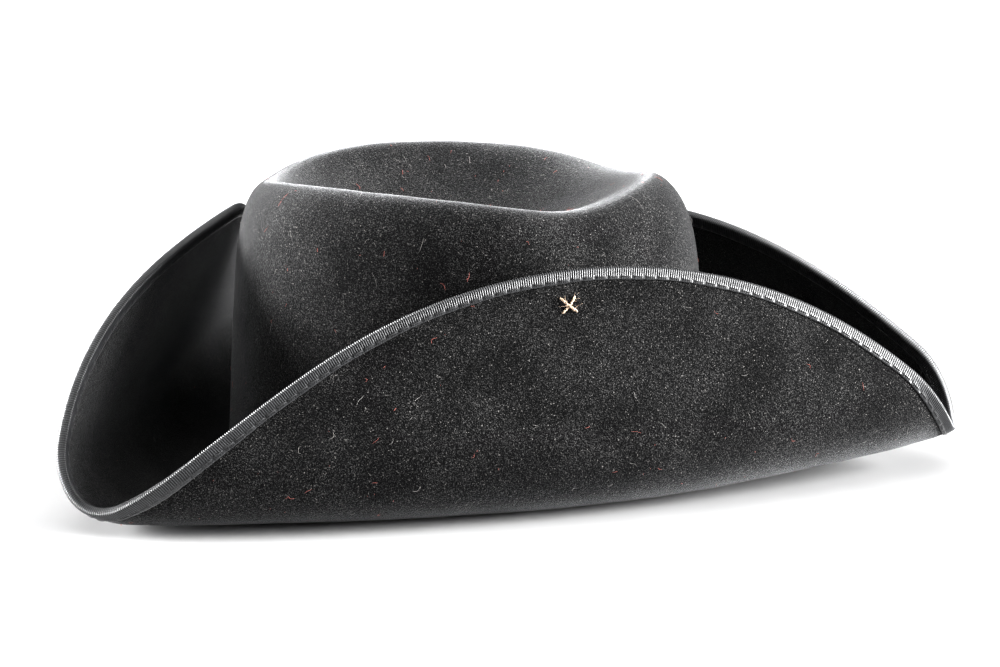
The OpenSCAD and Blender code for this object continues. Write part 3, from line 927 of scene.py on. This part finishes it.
def make_camera():
    """The photo's view, from the fit of the camera to the hat's outline."""
    azimuth, elevation, roll = (math.radians(degrees) for degrees in CAMERA_ANGLES)
    back = Vector((math.sin(azimuth) * math.cos(elevation),
                   -math.cos(azimuth) * math.cos(elevation), math.sin(elevation)))
    data = bpy.data.cameras.new("camera")
    data.lens = CAMERA_LENS
    data.sensor_width = 36.0
    camera = bpy.data.objects.new("camera", data)
    camera.location = Vector(CAMERA_TARGET) * MM + CAMERA_DISTANCE * back
    camera.rotation_mode = "QUATERNION"
    camera.rotation_quaternion = (-back).to_track_quat("-Z", "Y") @ Quaternion((0, 0, 1), roll)
    bpy.context.scene.collection.objects.link(camera)
    bpy.context.scene.camera = camera


def make_floor():
    """Pale paper that the hat lies on."""
    size = 6.0
    mesh = bpy.data.meshes.new("floor")
    mesh.from_pydata([(-size, -size, 0), (size, -size, 0), (size, size, 0), (-size, size, 0)], [],
                     [(0, 1, 2, 3)])
    paper = Nodes("floor_paper")
    grain = paper.noise(30.0, detail=2.0)
    paper.set(Base_Color=paper.ramp(grain, [(0.3, (0.44, 0.44, 0.443)), (0.7, (0.46, 0.46, 0.462))]),
              Roughness=0.9)
    mesh.materials.append(paper.material)
    floor = bpy.data.objects.new("floor", mesh)
    bpy.context.scene.collection.objects.link(floor)


def add_sun(name, azimuth, elevation, spread, strength):
    """A large soft light far away; azimuth 0 is straight in front of the hat's right side."""
    a, e = math.radians(azimuth), math.radians(elevation)
    data = bpy.data.lights.new(name, "SUN")
    data.angle = math.radians(spread)
    data.energy = strength
    lamp = bpy.data.objects.new(name, data)
    toward = Vector((math.sin(a) * math.cos(e), -math.cos(a) * math.cos(e), math.sin(e)))
    lamp.location = 2.0 * toward
    lamp.rotation_mode = "QUATERNION"
    lamp.rotation_quaternion = (-toward).to_track_quat("-Z", "Y")
    bpy.context.scene.collection.objects.link(lamp)


def make_world():
    """A white sweep behind the hat and a dark room above it and in front of it."""
    world = bpy.data.worlds.new("studio")
    bpy.context.scene.world = world
    world.use_nodes = True
    tree = world.node_tree
    place = tree.nodes.new("ShaderNodeTexCoord")
    split = tree.nodes.new("ShaderNodeSeparateXYZ")
    tree.links.new(place.outputs["Generated"], split.inputs[0])
    both = tree.nodes.new("ShaderNodeMath")
    both.operation = "MULTIPLY"
    # Brightness falls with height and grows toward the back: each axis with its range and levels
    for number, (axis, low, high, at_low, at_high) in enumerate([("Z", 0.1, 0.6, 0.9, 0.3),
                                                                 ("Y", -0.6, 0.5, 0.3, 1.0)]):
        level = tree.nodes.new("ShaderNodeMapRange")
        level.inputs["From Min"].default_value = low
        level.inputs["From Max"].default_value = high
        level.inputs["To Min"].default_value = at_low
        level.inputs["To Max"].default_value = at_high
        tree.links.new(split.outputs[axis], level.inputs["Value"])
        tree.links.new(level.outputs["Result"], both.inputs[number])
    tree.links.new(both.outputs["Value"], tree.nodes["Background"].inputs["Strength"])


def make_light():
    """Soft low light from both sides, a little from above, and the picture's tone."""
    make_world()
    add_sun("soft_light_left", -84.0, 8.0, 28.0, 17.0)
    add_sun("soft_light_rear_left", -114.0, 9.0, 28.0, 9.0)
    add_sun("soft_light_right", 96.0, 16.0, 28.0, 17.0)
    add_sun("soft_light_rear_right", 118.0, 16.0, 30.0, 2.5)
    add_sun("soft_light_top", 10.0, 84.0, 60.0, 2.6)
    bpy.context.scene.view_settings.view_transform = "Standard"
    bpy.context.scene.view_settings.gamma = 0.8


make_camera()
make_floor()
make_light()

make_hood()
make_binding()
make_binding_stitches()
for number, (side, direction) in enumerate(TACK_DIRECTIONS.items()):
    make_tack(side, direction, seed=11 + number)
make_lint("lint_pale", PALE_LINT, count=560, longest=4.5, seed=5)
make_lint("lint_rust", RUST_LINT, count=420, longest=4.0, seed=6)

make_sweatband()
make_band_seam()
make_reed()
make_reed_tape()
make_band_stitches()
make_bow()
make_lining_side()
make_lining_tip()
make_piping()
